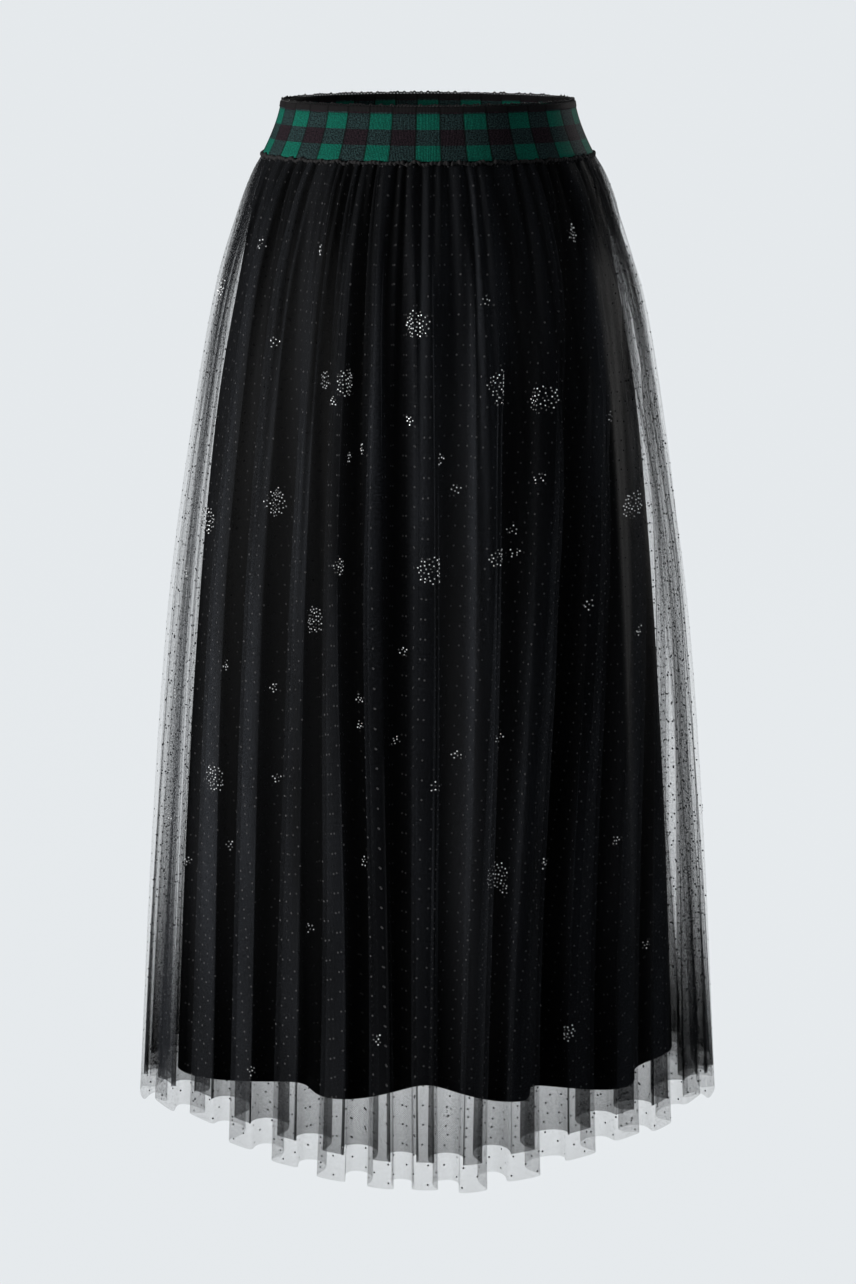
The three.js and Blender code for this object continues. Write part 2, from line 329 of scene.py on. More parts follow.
FRONT_FOLDS = [
    (-88, -88, 0.95, 0, 0.06, 0.04),
    (-77, -72, 0.80, 13, 0.12, 0.04),
    (-63, -56, 1.00, 22, 0.09, 0.06),
    (-51, -44, 1.05, 11, 0.12, 0.05),
    (-38, -32.5, 0.85, 5, 0.05, 0.04),
    (-28, -20, 1.05, 2, 0.14, 0.08),
    (-18.5, -9.5, 0.90, 0, 0.04, 0.04),
    (-2, -0.5, 0.70, 0, 0.10, 0.02),
    (22, 9, 1.10, -2, 0.02, 0.06),
    (46, 20, 1.10, 3, 0.10, 0.08),
    (64, 35.5, 0.80, 9, -0.04, 0.03),
    (77, 48, 1.10, 16, 0.08, 0.06),
    (87, 60, 0.80, 9, -0.05, 0.03),
    (96, 72, 1.00, 20, 0.06, 0.05),
]
BACK_FOLDS = [
    (104, 84, 0.90, 6, -0.04, 0.05),
    (113, 97, 1.05, 7, 0.06, 0.06),
    (123, 110, 0.80, 5, -0.07, 0.04),
    (133, 122, 1.00, 8, 0.03, 0.04),
    (144, 135, 0.75, 12, 0.08, 0.04),
    (155, 148, 1.05, 8, -0.05, 0.08),
    (166, 161, 0.85, 3, 0.05, 0.06),
    (178, 174, 1.00, 0, -0.03, 0.04),
    (190, 187, 0.70, 1, 0.09, 0.03),
    (201, 200, 1.08, 4, -0.06, 0.08),
    (213, 213, 0.90, 8, 0.04, 0.05),
    (225, 226, 1.00, 11, -0.04, 0.05),
    (237, 238, 0.75, 8, 0.08, 0.03),
    (248, 250, 1.00, 4, -0.05, 0.06),
    (259, 261, 0.85, 2, 0.05, 0.04),
]
FOLDS = np.array(FRONT_FOLDS + BACK_FOLDS, dtype=FOLD_COLUMNS)
SIDE_FOLD_SHARE = 0.6
TURN_POWER = 1.6
GATHERS_ROUND = 58
GATHER_LENGTH, GATHER_LENGTH_VARIES, SHORTEST_GATHER = 150, 80, 40
# How deeply the valleys are painted dark as shade, and how much that varies round the skirt.
VALLEY_SHADE_DEPTH, VALLEY_SHADE_VARIES = 0.72, 0.45
print("folds", len(FOLDS), "small gathers", GATHERS_ROUND)

# %% One function for both layers of net


def fold_place(folds, turn, down_share):
    """Angle of the ridge before and after each point, and the mixed columns between them. turn
    counts folds round the skirt, so its whole part picks the rows and its rest is the share."""
    count = len(folds)
    number = np.floor(turn).astype(int)
    share = turn - number
    here, after = folds[number % count], folds[(number + 1) % count]
    ridge = here["seam"] + (here["hem"] - here["seam"]) * down_share + 360 * (number // count)
    following = after["seam"] + (after["hem"] - after["seam"]) * down_share
    following = following + 360 * ((number + 1) // count)
    soft = share * share * (3 - 2 * share)
    mixed = {name: here[name] + (after[name] - here[name]) * soft for name in folds.dtype.names}
    return ridge, following - ridge, share, mixed


def tulle_points(turn, depth, under=False):
    """Points of a layer of net, in millimetres, for folds counted round and depth down. The
    first and last columns only give their neighbours a direction, and are left off.

    The radius is the outline's, less fold_depth * (1 - reach * wave), where the wave is
    1 - 2 |sin(phase / 2)| ^ sharp: a cosine for sharp = 2, and a broader ridge over a narrower
    valley for more. The angle runs from ridge to ridge, with meander * sin(2 phase) for walls
    that lean over and lean * cos(phase) for folds that lean to one side. Small gathers stand
    off the folded line along its normal, and run out at uneven depths. Also given back is how
    open each point lies, from 0 in the valleys to 1 on the ridges, as the mask for the painted
    shade of the net and its dots. Some valleys are given less painted shade than others, so that
    two folds read as one broad one."""
    count = len(FOLDS)
    at = {name: smooth_through(depth, TULLE["depth"], column) for name, column in TULLE.items()}
    down_share = (depth - SEAM_DEPTH) / (HEM_DEPTH - SEAM_DEPTH)
    turned = 1 - np.clip(1 - down_share, 0, 1) ** TURN_POWER
    ridge, width, share, row = fold_place(FOLDS, turn, turned)
    phase = 2 * np.pi * share
    lean = at["meander"] * np.sin(2 * phase)
    lean = lean + row["lean"] * np.sqrt(down_share) * (np.cos(phase) - 1) / 2
    sway = wander(turn, count, 11, (3, 14), 0.9) * np.sin(np.pi * down_share) ** 2
    sway = sway + wander(turn, count, 12, (3, 14), 0.7) * np.sin(2 * np.pi * down_share)
    angle = np.radians(ridge + width * (share + lean) + sway)
    wave = 1 - 2 * np.abs(np.sin(phase / 2)) ** (at["sharp"] + 8 * row["flat"])
    fold_depth = at["fold_depth"] * (1 - (1 - SIDE_FOLD_SHARE) * np.sin(angle) ** 4)
    sunk = fold_depth * (1 - row["reach"] * wave)
    radius = outline_radius(at["half_width"], at["half_depth"], at["roundness"], angle) - sunk
    x, y = radius * np.sin(angle), -radius * np.cos(angle)
    along = np.gradient(x, axis=1), np.gradient(y, axis=1)
    length = np.hypot(*along)
    out_x, out_y = along[1] / length, -along[0] / length
    run_out = GATHER_LENGTH + wander(turn, count, 13, (20, 60), GATHER_LENGTH_VARIES)
    fade = np.exp(-(depth - SEAM_DEPTH) / np.clip(run_out, SHORTEST_GATHER, None))
    small = GATHERS_ROUND * angle / (2 * np.pi) + wander(turn, count, 14, (12, 44), 0.45)
    pleat = np.cos(2 * np.pi * small) - 0.25 * np.cos(4 * np.pi * small)
    height = at["gather"] * fade * (1 + wander(turn, count, 15, (20, 60), 0.4))
    crease = np.cos(2 * np.pi * (2 * turn + wander(turn, count, 16, (5, 30), 0.35)))
    crease = crease * at["crease"] * (1 + wander(turn, count, 17, (5, 40), 0.6))
    off = height * pleat + crease
    if under:
        off = off - at["under_inset"]
    lift = row["lift"] * down_share ** 2
    z = np.broadcast_to(-depth + lift, x.shape)
    # How open each point lies between folds and gathers: the mask for the painted valley shade.
    weight = np.stack([fold_depth, np.clip(height, 0.05, None)])
    open_parts = np.stack([(wave + 1) / 2, (pleat + 1.25) / 2.3])
    painted_shade_openness = (weight * open_parts).sum(axis=0) / weight.sum(axis=0)
    # Painted shade: some valleys are painted less dark than others.
    valley_shade = np.clip(VALLEY_SHADE_DEPTH + wander(turn, count, 18, (3, 11), VALLEY_SHADE_VARIES), 0.15, 1)
    painted_shade_openness = 1 - valley_shade * (1 - painted_shade_openness)
    points = np.stack([x + off * out_x, y + off * out_y, z], axis=-1)
    return points[:, 1:-1], np.clip(painted_shade_openness, 0, 1)[:, 1:-1]


def cloth_lengths(points):
    """Metres of cloth from the middle to each column, taken along the hem, and down each row."""
    hem = np.linalg.norm(np.diff(points[-1], axis=0), axis=1)
    across = np.concatenate([[0], np.cumsum(hem)]) * MM
    steps = np.linalg.norm(np.diff(points, axis=0), axis=2).mean(axis=1)
    down = np.concatenate([[0], np.cumsum(steps)]) * MM
    return across - across[-1] / 2, down


def cut_share(panel, down):
    """Width of a panel's flat cut so far down, as a share of its hem's."""
    return panel["top_cut"] + (1 - panel["top_cut"]) * down / panel["down"][-1]


SEAM_CROWDING, CROWDING_RUNS_OUT = 4.0, 0.07
HEM_CROWDING, UNDER_HEM_CROWDING = 3.2, 14.0
HEM_CROWDING_POWER = 12
LEAST_CROWDING, MOST_CROWDING = 0.7, 4.0


def crowding(panel, at_hem):
    """How many widths of cloth are gathered into each width of mesh. Gathers too small for the
    mesh add SEAM_CROWDING at the seam, which runs out over CROWDING_RUNS_OUT metres, and small
    ripples add at_hem along the hem, less above it as a high power of the depth's share."""
    width = np.linalg.norm(np.gradient(panel["points"], axis=1), axis=2) * MM
    cloth = np.gradient(panel["across"])[None, :] * cut_share(panel, panel["down"])[:, None]
    more = 1 + SEAM_CROWDING * np.exp(-panel["down"][:, None] / CROWDING_RUNS_OUT)
    more = more + at_hem * (panel["down"][:, None] / panel["down"][-1]) ** HEM_CROWDING_POWER
    return np.clip(cloth / np.maximum(width, 1e-6), LEAST_CROWDING, MOST_CROWDING) * more


def keep_by_point(piece, name, values):
    """Numbers that a material reads, one for each of a piece's points."""
    store = piece.data.attributes.new(name, "FLOAT", "POINT")
    store.data.foreach_set("value", np.asarray(values, float).ravel())


def cloth_panel(name, points, top_cut):
    """A panel's mesh with its map, and the grids that small things are laid on. top_cut is the
    width of the flat cut's top edge as a share of its hem."""
    across, down = cloth_lengths(points)
    panel = {"points": points, "across": across, "down": down, "top_cut": top_cut}
    flat_across = across[None, :] * cut_share(panel, down)[:, None]
    panel["piece"] = sheet_mesh(name, points, flat_across, -down[:, None])
    panel["flat"] = float(across[-1] - across[0]), float(down[-1])
    panel["area"] = panel["flat"][0] * panel["flat"][1] * (1 + top_cut) / 2
    print(name, len(panel["piece"].data.polygons), "faces")
    return panel


HALF = 0.5
FRONT_TURNS = (-HALF, len(FRONT_FOLDS) - HALF)
BACK_TURNS = (len(FRONT_FOLDS) - HALF, len(FOLDS) - HALF)


def down_steps(rows, hem):
    """Depths from the seam to the hem, closer together under the band."""
    share = np.linspace(0, 1, rows)
    return SEAM_DEPTH + (hem - SEAM_DEPTH) * (0.35 * share + 0.65 * share ** 2)


TULLE_TOP_CUT = 0.6


def tulle_panel(name, turns, columns_a_fold, rows, under):
    """One panel of net between its side seams, which notes how crowded its cloth is, and how open it lies as
    the mask for painted shade.
    """
    columns = int(round((turns[1] - turns[0]) * columns_a_fold)) + 1
    step = 1 / columns_a_fold
    turn = np.linspace(turns[0] - step, turns[1] + step, columns + 2)[None, :]
    hem = HEM_DEPTH - (UNDER_HEM_RISE if under else 0)
    depth = down_steps(rows, hem)[:, None]
    points, painted_shade_openness = tulle_points(turn, depth, under)
    panel = cloth_panel(name, points, TULLE_TOP_CUT)
    panel["painted_shade_openness"] = painted_shade_openness
    at_hem = UNDER_HEM_CROWDING if under else HEM_CROWDING
    keep_by_point(panel["piece"], "crowding", crowding(panel, at_hem))
    keep_by_point(panel["piece"], "painted_shade_openness", painted_shade_openness)
    return panel


PANELS = {
    "front": tulle_panel("net_front", FRONT_TURNS, 32, 96, under=False),
    "back": tulle_panel("net_back", BACK_TURNS, 32, 96, under=False),
    "under_front": tulle_panel("net_under_front", FRONT_TURNS, 20, 72, under=True),
    "under_back": tulle_panel("net_under_back", BACK_TURNS, 20, 72, under=True),
}

# %% [markdown]
# ## The look of the net
#
# Net is mostly holes. Its threads run in two slanting directions, and cover a small share of
# the cloth. Seen along a fold's wall, more threads stand behind each other, so the cover grows
# as one over the cosine, and gathered cloth is several widths deep. Both go into one formula,
# cover = 1 - (1 - threads) ^ (crowding / cosine). Fine geometry for every thread would cost
# millions of faces, so the threads are drawn in the material. Light that comes through several
# folds is spent in the valleys, so painted shade darkens the colour from the open ridges to the
# valleys and where the cloth is crowded. Painted light and shade also vary from fold to fold, in
# long loose bands, since some folds lie flat on the lining and others stand away. The under layer
# is a closer net than the outer one.

# %% Net material
NET_PITCH = 0.0016
NET_THREAD = 0.10
NET_COVER, UNDER_NET_COVER = (0.02, 0.36), (0.03, 0.56)
MOST_COVER = 0.97
NET_SPECKS, SPECKLED_SHARE = 640, 0.75
NET_COLOUR = (0.039, 0.043, 0.051)
UNDER_NET_SHADE = 0.85
STEEPEST_COSINE = 0.68
VALLEY_LIGHT, VALLEY_POWER, CROWDED_POWER = 0.05, 1.8, 0.6
# Painted light and shade in long bands down the net: their scale, and how dark and light they go.
LOOSE_BANDS_ACROSS, LOOSE_BANDS_DOWN = 13.0, 2.2
LOOSE_BAND_LIGHT = (0.45, 1.6)


def by_point(tree, name):
    """A number kept with each of the piece's points."""
    node = tree.nodes.new("ShaderNodeAttribute")
    node.attribute_name = name
    return node.outputs["Fac"]


def net_threads(tree, cloth, across, down):
    """Where two slanting rows of threads run, from 0 to 1, speckled by their uneven dye."""
    rows = []
    for slant in ("ADD", "SUBTRACT"):
        along = math_node(tree, slant, across, down)
        place = math_node(tree, "FRACT", math_node(tree, "DIVIDE", along, NET_PITCH))
        off = math_node(tree, "ABSOLUTE", math_node(tree, "SUBTRACT", place, 0.5))
        rows.append(band_of(tree, off, 0.5 - NET_THREAD, 0.56 - NET_THREAD))
    specks = band_of(tree, noise(tree, cloth, NET_SPECKS), 0.46, 0.60)
    specks = math_node(tree, "MULTIPLY_ADD", specks, SPECKLED_SHARE, 1 - SPECKLED_SHARE)
    return math_node(tree, "MULTIPLY", math_node(tree, "MAXIMUM", *rows), specks)


def painted_light_bands(tree, across, down):
    """Painted light and shade: how light each part of the cloth is painted, in long uneven bands that run
    down it.
    """
    stretched = tree.nodes.new("ShaderNodeCombineXYZ")
    tree.links.new(math_node(tree, "MULTIPLY", across, LOOSE_BANDS_ACROSS), stretched.inputs[0])
    tree.links.new(math_node(tree, "MULTIPLY", down, LOOSE_BANDS_DOWN), stretched.inputs[1])
    loose = band_of(tree, noise(tree, stretched.outputs[0], 1.0), 0.36, 0.64)
    darkest, lightest = LOOSE_BAND_LIGHT
    return math_node(tree, "MULTIPLY_ADD", loose, lightest - darkest, darkest)


def scaled_colour(tree, colour, light):
    """A colour made darker or lighter by a number."""
    node = tree.nodes.new("ShaderNodeVectorMath")
    node.operation = "SCALE"
    tree.links.new(colour, node.inputs[0])
    tree.links.new(light, node.inputs["Scale"])
    return node.outputs[0]


def net_material(name, colour, thread_cover):
    """Black net. thread_cover is the least cover, and how much a thread adds to it.

    Opacity is 1 - (1 - cover) ^ (crowding / cosine), where the cosine is that between the view
    and the cloth's normal, and never under STEEPEST_COSINE. The colour carries painted shade: it
    is scaled by a painted light, which grows with how open the point lies to the power VALLEY_POWER,
    is divided by crowding ^ CROWDED_POWER, and rises and falls in painted light bands."""
    material, tree, shader = new_material(name)
    cloth, across, down = cloth_coordinates(tree)
    threads = net_threads(tree, cloth, across, down)
    cover = math_node(tree, "MULTIPLY_ADD", threads, thread_cover[1], thread_cover[0], clamp=True)
    cover = math_node(tree, "MINIMUM", cover, MOST_COVER)
    weight = tree.nodes.new("ShaderNodeLayerWeight")
    weight.inputs["Blend"].default_value = 0.5
    cosine = math_node(tree, "SUBTRACT", 1.0, weight.outputs["Facing"])
    crowd = by_point(tree, "crowding")
    deep = math_node(tree, "DIVIDE", crowd, math_node(tree, "MAXIMUM", cosine, STEEPEST_COSINE))
    clear = math_node(tree, "POWER", math_node(tree, "SUBTRACT", 1.0, cover), deep)
    tree.links.new(math_node(tree, "SUBTRACT", 1.0, clear, clamp=True), shader.inputs["Alpha"])
    uneven = noise(tree, cloth, 26.0)
    lighter = tuple(1.35 * c for c in colour)
    # Painted shade: darker towards the valleys and where the cloth is crowded, and lighter or darker in
    # painted bands.
    opened = math_node(tree, "POWER", by_point(tree, "painted_shade_openness"), VALLEY_POWER)
    light = math_node(tree, "MULTIPLY_ADD", opened, 1 - VALLEY_LIGHT, VALLEY_LIGHT)
    light = math_node(tree, "DIVIDE", light, math_node(tree, "POWER", crowd, CROWDED_POWER))
    light = math_node(tree, "MULTIPLY", light, painted_light_bands(tree, across, down))
    shaded = scaled_colour(tree, mix_colours(tree, uneven, colour, lighter), light)
    tree.links.new(shaded, shader.inputs["Base Color"])
    shader.inputs["Roughness"].default_value = 0.7
    shader.inputs["Specular IOR Level"].default_value = 0.06
    return material


NET = net_material("black_net", NET_COLOUR, NET_COVER)
UNDER_NET_COLOUR = tuple(UNDER_NET_SHADE * c for c in NET_COLOUR)
UNDER_NET = net_material("black_net_under", UNDER_NET_COLOUR, UNDER_NET_COVER)
for key, panel in PANELS.items():
    panel["piece"].data.materials.append(UNDER_NET if key.startswith("under") else NET)
print("net materials", NET.name, UNDER_NET.name)

# %% [markdown]
# ## Dots and stones
#
# Flock dots are glued on the flat net in staggered rows before it is sewn, so they are laid
# here by metres of cloth, and gather with it. They could be painted in the material, but real
# little pads keep their round edge in every view. The stones are ironed on in rosettes.

# %% Laying small things on a panel


def grid_place(panel, across, down):
    """The grid's column and row, with their fractions, at places in metres of flat cloth."""
    rows, columns = panel["points"].shape[:2]
    column = np.interp(across / cut_share(panel, down), panel["across"], np.arange(columns))
    row = np.interp(down, panel["down"], np.arange(rows))
    return column, row, np.minimum(column.astype(int), columns - 2), np.minimum(row.astype(int), rows - 2)


def laid_on(panel, across, down):
    """Frames on a panel at places in metres of flat cloth from its middle and from its top:
    points, unit vectors across, down and outwards, and how far the cloth is squeezed across."""
    grid = panel["points"]
    share = cut_share(panel, down)
    column, row, c, r = grid_place(panel, across, down)
    a, b = (column - c)[:, None], (row - r)[:, None]
    top, bottom = grid[r, c] * (1 - a) + grid[r, c + 1] * a, grid[r + 1, c] * (1 - a) + grid[r + 1, c + 1] * a
    side = (grid[r, c + 1] - grid[r, c]) * (1 - b) + (grid[r + 1, c + 1] - grid[r + 1, c]) * b
    fall = bottom - top
    width = np.linalg.norm(side, axis=1)
    cloth = (panel["across"][c + 1] - panel["across"][c]) * share / MM
    side = side / width[:, None]
    out = np.cross(fall, side)
    out = out / np.linalg.norm(out, axis=1)[:, None]
    return top * (1 - b) + bottom * b, side, np.cross(side, out), out, width / cloth


def stamp(name, frames, shape, faces, material, grow=(1, 1, 1), spin=None):
    """One mesh of copies of a small shape, given in millimetres across, down and outwards."""
    points, side, fall, out, _ = frames
    shape = np.asarray(shape, float)
    x, y, z = (shape[None, :, i] * np.reshape(grow[i], (-1, 1)) for i in range(3))
    if spin is not None:
        turn = np.reshape(spin, (-1, 1))
        x, y = x * np.cos(turn) - y * np.sin(turn), x * np.sin(turn) + y * np.cos(turn)
    placed = points[:, None] + side[:, None] * x[..., None] + fall[:, None] * y[..., None]
    placed = placed + out[:, None] * z[..., None]
    starts = np.arange(len(points)) * len(shape)
    corners = [[i + start for i in face] for start in starts.tolist() for face in faces]
    mesh = bpy.data.meshes.new(name)
    mesh.from_pydata((placed.reshape(-1, 3) * MM).tolist(), [], corners)
    mesh.materials.append(material)
    piece = bpy.data.objects.new(name, mesh)
    bpy.context.collection.objects.link(piece)
    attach(piece, "root")
    return piece


def ring(count, radius, height, start=0.0):
    """Points of a ring that run anticlockwise seen from outside, where down is +y."""
    turn = start - 2 * np.pi * np.arange(count) / count
    return np.stack([radius * np.cos(turn), radius * np.sin(turn), np.full(count, height)], axis=1)


# %% Flocked dots
DOT_ACROSS, DOT_DOWN = 0.0125, 0.0165
DOT_RADIUS = 0.95
DOT_STANDS_OFF = 0.16
DOT_WOBBLE = 0.00018


def dot_places(panel, seed):
    """Staggered rows of dots over a panel, in metres of cloth, each a little off its place."""
    rng = np.random.default_rng(seed)
    half, length = panel["flat"][0] / 2, panel["flat"][1]
    number, step = np.meshgrid(np.arange(-half // DOT_ACROSS, half / DOT_ACROSS),
                               np.arange(0.25, length / DOT_DOWN), indexing="ij")
    across = number.ravel() * DOT_ACROSS
    down = (step + 0.5 * (number % 2)).ravel() * DOT_DOWN
    inside = (down < length - 0.002) & (np.abs(across) < half * cut_share(panel, down) - 0.002)
    wobble = rng.normal(0, DOT_WOBBLE, (2, inside.sum()))
    return across[inside] + wobble[0], down[inside] + wobble[1]


def flock_material():
    """Matt grey fuzz, with painted shade that darkens it in the valleys as on the net."""
    material, tree, shader = new_material("flock")
    place = tree.nodes.new("ShaderNodeTexCoord").outputs["Object"]
    fuzz = noise(tree, place, 900.0)
    colour = mix_colours(tree, fuzz, (0.036, 0.036, 0.038), (0.072, 0.072, 0.076))
    # Painted shade: the dots go nearly black in the valleys.
    colour = mix_colours(tree, by_point(tree, "painted_shade_openness"), (0.004, 0.004, 0.004), colour)
    tree.links.new(colour, shader.inputs["Base Color"])
    shader.inputs["Roughness"].default_value = 0.9
    shader.inputs["Sheen Weight"].default_value = 0.02
    shader.inputs["Sheen Roughness"].default_value = 0.4
    shader.inputs["Specular IOR Level"].default_value = 0.2
    return material


FLOCK = flock_material()
for seed, (key, panel) in enumerate(PANELS.items(), 30):
    places = dot_places(panel, seed)
    frames = laid_on(panel, *places)
    squeeze = np.clip(frames[4], 0.3, 1.0)
    dots = stamp("dots_" + key, frames, ring(6, DOT_RADIUS, DOT_STANDS_OFF), [range(6)], FLOCK,
                 grow=(squeeze, np.ones_like(squeeze), np.ones_like(squeeze)))
    row, column = grid_place(panel, *places)[:1:-1]
    # The dots take the net's mask for painted valley shade.
    keep_by_point(dots, "painted_shade_openness", np.repeat(panel["painted_shade_openness"][row, column], 6))
    panel["dots"] = dots
    print(dots.name, len(squeeze))

# %% [markdown]
# ## Rosettes of stones
#
# The photograph's rosettes are given in millimetres to the right of the middle and
# below the middle of the band, with their width. Those on the back are scattered, one in each
# cell of a loose grid, in the same mix of sizes. A cut stone throws back light in narrow beams
# that a plain surface has not, and real facets would need many samples, so a small painted glow
# stands for its glints.

# %% Stones
STONE_RADIUS = 0.66
STONE_FLOOR, STONE_TABLE = 0.25, 0.66
# Strength of the stones' painted glow.
STONE_PAINTED_GLOW = 0.22
BIG, MIDDLE, SMALL = 25, 17, 10.5
STONES_IN = {BIG: 42, MIDDLE: 20, SMALL: 7}
STONE_WOBBLE = 0.3
GOLDEN_TURN = math.pi * (3 - math.sqrt(5))
FRONT_ROSETTES = [
    (-179, 141, BIG), (-9, 154, BIG), (-66, 198, BIG), (61, 198, BIG), (95, 210, BIG),
    (-127, 302, BIG), (5, 353, BIG), (173, 314, BIG), (-188, 329, BIG), (-95, 398, BIG),
    (-73, 353, MIDDLE), (58, 344, MIDDLE), (-182, 554, BIG), (57, 605, BIG), (-84, 201, MIDDLE),
    (120, 84, MIDDLE), (-139, 91, SMALL), (-88, 91, SMALL), (49, 131, SMALL), (-125, 169, SMALL),
    (-76, 214, SMALL), (-54, 250, SMALL), (-65, 262, SMALL), (-15, 232, SMALL), (11, 264, SMALL),
    (25, 282, SMALL), (93, 276, SMALL), (60, 216, SMALL), (153, 236, SMALL), (-125, 291, SMALL),
    (71, 325, SMALL), (75, 343, SMALL), (135, 388, SMALL), (-206, 382, SMALL), (-19, 417, SMALL),
    (-171, 446, SMALL), (-128, 460, SMALL), (-56, 461, SMALL), (-55, 479, SMALL), (180, 417, SMALL),
    (-27, 492, SMALL), (-221, 493, SMALL), (61, 492, SMALL), (26, 507, SMALL), (7, 531, SMALL),
    (-125, 537, SMALL), (-224, 601, SMALL), (-208, 637, SMALL), (-168, 609, SMALL), (-53, 600, SMALL),
    (97, 598, SMALL), (160, 598, SMALL), (66, 629, SMALL), (-99, 666, SMALL), (-40, 742, SMALL),
    (118, 760, MIDDLE), (-150, 790, SMALL), (20, 810, SMALL), (190, 706, SMALL), (-70, 838, SMALL),
]
BACK_CELLS = (10, 7)


def seen_from_front(panel, right, depth):
    """Metres of cloth at the foremost place of a panel that lies so far right and down."""
    row = np.argmin(np.abs(-panel["points"][:, 0, 2] - depth))
    line = panel["points"][row]
    crossings = np.nonzero((line[:-1, 0] - right) * (line[1:, 0] - right) <= 0)[0]
    if len(crossings) == 0:
        crossings = [np.argmin(np.abs(line[:, 0] - right))]
    nearest = min(crossings, key=lambda i: line[i, 1])
    down = panel["down"][row]
    return panel["across"][nearest] * cut_share(panel, down), down


def rosette_offsets(size):
    """Stones' places in a rosette, in millimetres. Like seeds in a flower head, each is a
    golden turn on from the last, at a radius that grows as the square root of its number."""
    number = np.arange(STONES_IN[size]) + 0.5
    radius = (size / 2 - STONE_RADIUS) * np.sqrt(number / STONES_IN[size])
    return np.stack([radius * np.cos(number * GOLDEN_TURN), radius * np.sin(number * GOLDEN_TURN)], axis=1)


def stone_places(panel, rosettes, seed):
    """Metres of cloth at every stone of a list of rosettes, each rosette turned by chance."""
    rng = np.random.default_rng(seed)
    places = []
    for across, down, size in rosettes:
        turn = rng.uniform(0, 2 * np.pi)
        offsets = rosette_offsets(size) + rng.normal(0, STONE_WOBBLE, (STONES_IN[size], 2))
        x = offsets[:, 0] * np.cos(turn) - offsets[:, 1] * np.sin(turn)
        y = offsets[:, 0] * np.sin(turn) + offsets[:, 1] * np.cos(turn)
        places.append(np.stack([across + x * MM, down + y * MM], axis=1))
    return np.vstack(places).T


def scattered(panel, seed):
    """One rosette in each cell of a loose grid over a panel: two in seven of them are large."""
    rng = np.random.default_rng(seed)
    cells = [(i, j) for i in range(BACK_CELLS[0]) for j in range(BACK_CELLS[1])]
    shares = (np.array(cells) + rng.uniform(0.12, 0.88, (len(cells), 2))) / BACK_CELLS
    sizes = rng.choice([BIG, MIDDLE, SMALL], len(cells), p=[0.17, 0.12, 0.71])
    down = 0.05 + shares[:, 1] * (panel["flat"][1] - 0.08)
    across = (shares[:, 0] - 0.5) * (panel["flat"][0] - 0.04) * cut_share(panel, down)
    return list(zip(across, down, sizes))


def stone_material():
    """Clear glass on foil, with painted glints: noise paints some stones white and glowing as if they caught
    the light, and leaves their neighbours dark.
    """
    material, tree, shader = new_material("clear_stones")
    place = tree.nodes.new("ShaderNodeTexCoord").outputs["Object"]
    # Painted glint: noise picks the stones painted white, whose colour also glows.
    painted_glint = band_of(tree, noise(tree, place, 330.0), 0.40, 0.60)
    colour = mix_colours(tree, painted_glint, (0.07, 0.07, 0.07), (0.95, 0.97, 1.0))
    tree.links.new(colour, shader.inputs["Base Color"])
    tree.links.new(colour, shader.inputs["Emission Color"])
    shader.inputs["Emission Strength"].default_value = STONE_PAINTED_GLOW
    shader.inputs["Metallic"].default_value = 0.1
    shader.inputs["Roughness"].default_value = 0.25
    return material


STONES = stone_material()
STONE_SHAPE = np.vstack([ring(8, STONE_RADIUS, STONE_FLOOR), ring(8, 0.6 * STONE_RADIUS, STONE_TABLE)])
STONE_FACES = [(i, (i + 1) % 8, 8 + (i + 1) % 8, 8 + i) for i in range(8)] + [tuple(range(8, 16))]
placed = [(*seen_from_front(PANELS["front"], right, depth), size) for right, depth, size in FRONT_ROSETTES]
for seed, (key, rosettes) in enumerate((("front", placed), ("back", scattered(PANELS["back"], 5))), 50):
    panel = PANELS[key]
    frames = laid_on(panel, *stone_places(panel, rosettes, seed))
    spin = np.random.default_rng(seed + 10).uniform(0, np.pi, len(frames[0]))
    panel["stones"] = stamp("stones_" + key, frames, STONE_SHAPE, STONE_FACES, STONES, spin=spin)
    print("stones", key, len(spin), "in", len(rosettes), "rosettes")

# %% [markdown]
# ## The lining
#
# An opaque slip of smooth black cloth hangs inside, narrower than the net, with a few broad
# waves and a turned hem that shows through the net. Its top edge reaches a little way up
# inside the band, as its seam allowance. Its hem is turned up inside, so the sheet goes down,
# round the edge and back up, and a line of stitches holds it.

# %% The lining's sheet
LINING_TOP, LINING_HEM = 19.0, 820.0
LINING = {
    "depth": (LINING_TOP, SEAM_DEPTH, 58, 120, 240, 420, 620, LINING_HEM),
    "half_width": (135.0, 136.7, 149, 163, 186, 206, 221, 232),
    "half_depth": (102.0, 103.7, 112, 121, 132, 139, 144, 148),
    "fold_depth": (0.0, 0.0, 1, 3, 7, 11.5, 15, 18),
}
LINING_FOLDS = np.array([
    (-80, -80, 1.00, -14, 0, 0),
    (-31, -29, 1.30, -3, 0, 0),
    (30, 29, 1.20, -6, 0, 0),
    (62, 60, 0.95, -10, 0, 0),
    (99, 98, 0.70, -14, 0, 0),
    (133, 132, 0.95, 2, 0, 0),
    (164, 165, 0.80, 0, 0, 0),
    (196, 197, 1.00, 2, 0, 0),
    (226, 227, 0.85, 0, 0, 0),
    (254, 253, 0.90, -4, 0, 0),
], dtype=FOLD_COLUMNS)
LINING_FRONT_COUNT = 4
HEM_TURNED_UP, HEM_INSIDE, HEM_ROWS = 11.0, 0.5, 5
LINING_TOP_CUT = 0.66
LINING_COLUMNS_A_WAVE, LINING_ROWS = 36, 56


